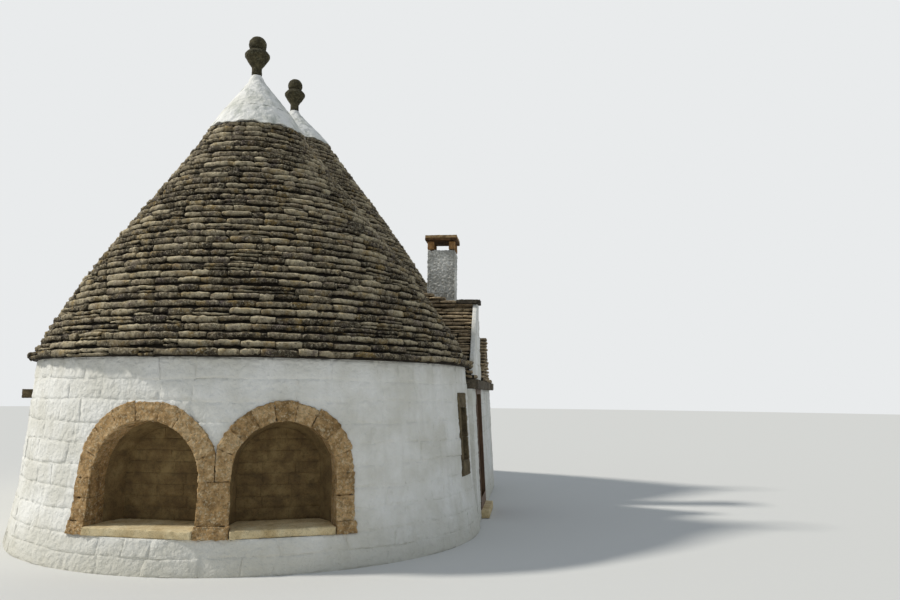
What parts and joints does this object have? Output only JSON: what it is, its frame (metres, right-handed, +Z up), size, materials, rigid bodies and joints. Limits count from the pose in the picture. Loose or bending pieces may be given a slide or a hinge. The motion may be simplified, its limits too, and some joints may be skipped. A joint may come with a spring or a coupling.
{
  "type": "trullo house",
  "caption": "Dry-stone house of two round whitewashed rooms under coursed stone cones, with arched wall niches, a gabled entrance and a chimney.",
  "frame": {"origin": "middle of the front trullo's round room, at ground level, under its floor", "axes": "+Z up, -Y out through the arched niches, +X out through the entrance front, +Y back to the main trullo"},
  "size_m": [8.48, 11.6386, 8.559],
  "materials": {
    "whitewash": "limewashed coursed blocks, matt",
    "roof_slabs": "weathered grey limestone slabs with lichen",
    "cap_plaster": "limewashed plaster, matt",
    "pinnacle_stone": "turned limestone, weathered and lichened",
    "tufa": "rough porous tufa blocks",
    "lime_block": "coursed cream limestone blocks",
    "timber": "dark stained boards",
    "window_glass": "clear window glass"
  },
  "bodies": {
    "house": {"left_niche_wall": "whitewash", "right_niche_wall": "whitewash", "window_wall": "whitewash", "passage_front_wall": "whitewash", "passage_back_wall": "whitewash", "front_left_wall": "whitewash", "left_wall": "whitewash", "rear_left_wall": "whitewash", "main_right_wall": "whitewash", "main_rear_right_wall": "whitewash", "main_rear_wall": "whitewash", "main_rear_left_wall": "whitewash", "main_left_wall": "whitewash", "entrance_wall_near": "whitewash", "entrance_wall_far": "whitewash", "passage_lintel": "lime_block", "cornice": "roof_slabs", "front_eaves": "roof_slabs", "front_cone": "roof_slabs", "front_cap": "cap_plaster", "front_cup": "pinnacle_stone", "front_ball": "pinnacle_stone", "main_eaves": "roof_slabs", "main_cone": "roof_slabs", "main_cap": "cap_plaster", "main_cup": "pinnacle_stone", "main_ball": "pinnacle_stone", "left_niche": "lime_block", "right_niche": "lime_block", "left_arch": "tufa", "right_arch": "tufa", "niche_pier": "tufa", "left_sill": "lime_block", "right_sill": "lime_block", "window_surround": "tufa", "window_casement": "timber", "window_pane": "window_glass", "waterspout": "tufa", "floor": "lime_block", "threshold": "lime_block", "door_frame": "timber", "gable_roof": "roof_slabs", "gable_wall": "whitewash", "gable_coping": "roof_slabs", "rear_gable_roof": "roof_slabs", "skirt_roof": "roof_slabs", "chimney_shaft": "whitewash", "chimney_corners": "tufa", "chimney_cap": "tufa"},
    "door": {"door_leaf": "timber"}
  },
  "joints": [
    {"name": "door_hinge", "type": "hinge", "parent": "house", "child": "door", "pos_m": [2.89, 1.1335, 1], "axis": [0, 0, 1], "range_deg": [0, 90]}
  ]
}
